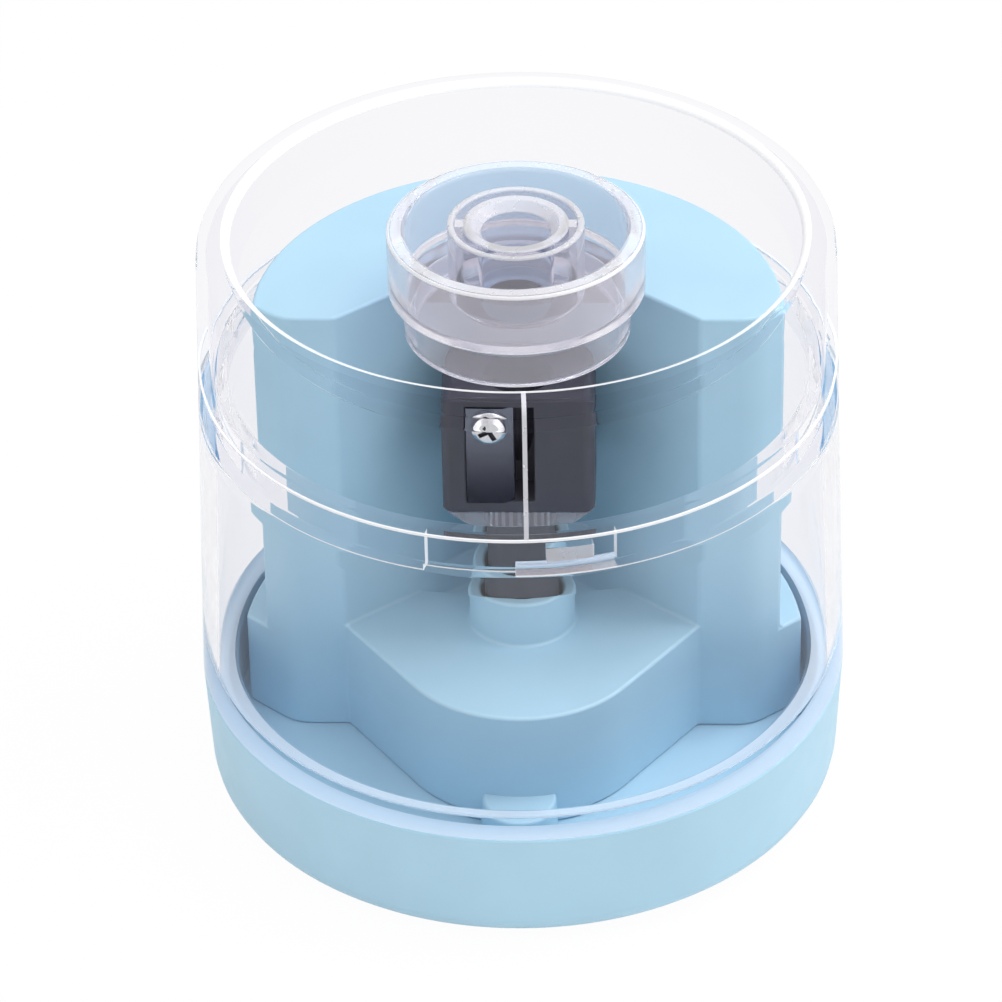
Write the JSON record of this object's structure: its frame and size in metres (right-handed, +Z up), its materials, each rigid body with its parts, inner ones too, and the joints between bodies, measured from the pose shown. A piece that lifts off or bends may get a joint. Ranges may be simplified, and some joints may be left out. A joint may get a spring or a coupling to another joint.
{
  "type": "pencil sharpener",
  "caption": "Round motor-driven desk pencil sharpener: pastel base and motor tower in a clear shavings bin, spinning blade block, twist-off clear lid with a central pencil hole.",
  "frame": {"origin": "on the table, under the middle of the round base", "axes": "+Z up along the pencil hole and the spindle, -Y to the open front of the bin, +X to the right"},
  "size_m": [0.078, 0.078, 0.0762],
  "materials": {
    "blue_plastic": "satin moulded, pastel blue",
    "clear_plastic": "clear polished",
    "dark_plastic": "satin charcoal",
    "blade_steel": "ground",
    "plated_steel": "bright plated",
    "gear_plastic": "natural acetal",
    "frame_plastic": "fine grained",
    "bush_brass": "turned",
    "magnet_grey": "sintered",
    "rubber_grey": "matt",
    "cell_jacket": "plain printed sleeve"
  },
  "bodies": {
    "base": {"base_cup": "blue_plastic", "rubber_feet": "rubber_grey", "housing_screws": "plated_steel", "motor_housing": "blue_plastic", "lower_shell": "clear_plastic", "gear_plate": "frame_plastic", "motor_deck": "frame_plastic", "idler_axle": "plated_steel", "spindle_bush": "bush_brass", "motor_can": "plated_steel", "motor_end_cap": "frame_plastic", "motor_terminals": "bush_brass", "motor_screws": "plated_steel", "motor_magnets": "magnet_grey", "switch_body": "frame_plastic", "battery_left": "cell_jacket", "battery_right": "cell_jacket", "battery_contacts": "plated_steel", "top_spring": "plated_steel", "door_hinge_pin": "plated_steel"},
    "drive": {"output_gear": "gear_plastic", "return_spring": "plated_steel"},
    "cutter": {"sharpener_block": "dark_plastic", "blade": "blade_steel", "blade_screw": "plated_steel", "cutter_carrier": "clear_plastic", "drive_hub": "dark_plastic", "spindle_shaft": "plated_steel"},
    "idler": {"idler_gear": "gear_plastic"},
    "rotor": {"motor_pinion": "bush_brass", "motor_shaft": "plated_steel", "motor_armature": "blade_steel"},
    "plunger": {"switch_plunger": "gear_plastic"},
    "lid": {"lid": "clear_plastic", "pencil_socket": "clear_plastic", "pencil_guide": "clear_plastic"},
    "door": {"battery_door": "blue_plastic", "battery_strip": "plated_steel", "door_spring": "plated_steel"}
  },
  "joints": [
    {"name": "spindle_spin", "type": "hinge", "parent": "base", "child": "drive", "pos_m": [0, 0, 0.012], "axis": [0, 0, 1], "continuous": true},
    {"name": "cutter_press", "type": "slide", "parent": "drive", "child": "cutter", "axis": [0, 0, -1], "range_m": [0, 0.0015], "stiffness_N_per_m": 1500, "springref_m": -0.0008, "deforming": ["return_spring"]},
    {"name": "switch_press", "type": "slide", "parent": "base", "child": "plunger", "axis": [0, 0, -1], "range_m": [0, 0.0015]},
    {"name": "idler_spin", "type": "hinge", "parent": "base", "child": "idler", "pos_m": [0, 0.0125, 0.013], "axis": [0, 0, 1], "continuous": true},
    {"name": "motor_spin", "type": "hinge", "parent": "base", "child": "rotor", "pos_m": [0, 0.0215, 0.015], "axis": [0, 0, 1], "continuous": true},
    {"name": "lid_twist", "type": "hinge", "parent": "base", "child": "lid", "pos_m": [0, 0, 0.055], "axis": [0, 0, 1], "range_deg": [0, 18]},
    {"name": "battery_door_swing", "type": "hinge", "parent": "base", "child": "door", "pos_m": [0, 0.0028, 0.00365], "axis": [-1, 0, 0], "range_deg": [0, 95]}
  ],
  "couplings": [
    {"joint": "idler_spin", "follows": "spindle_spin", "ratio": -4},
    {"joint": "motor_spin", "follows": "spindle_spin", "ratio": 14},
    {"joint": "switch_press", "follows": "cutter_press", "ratio": 1}
  ]
}
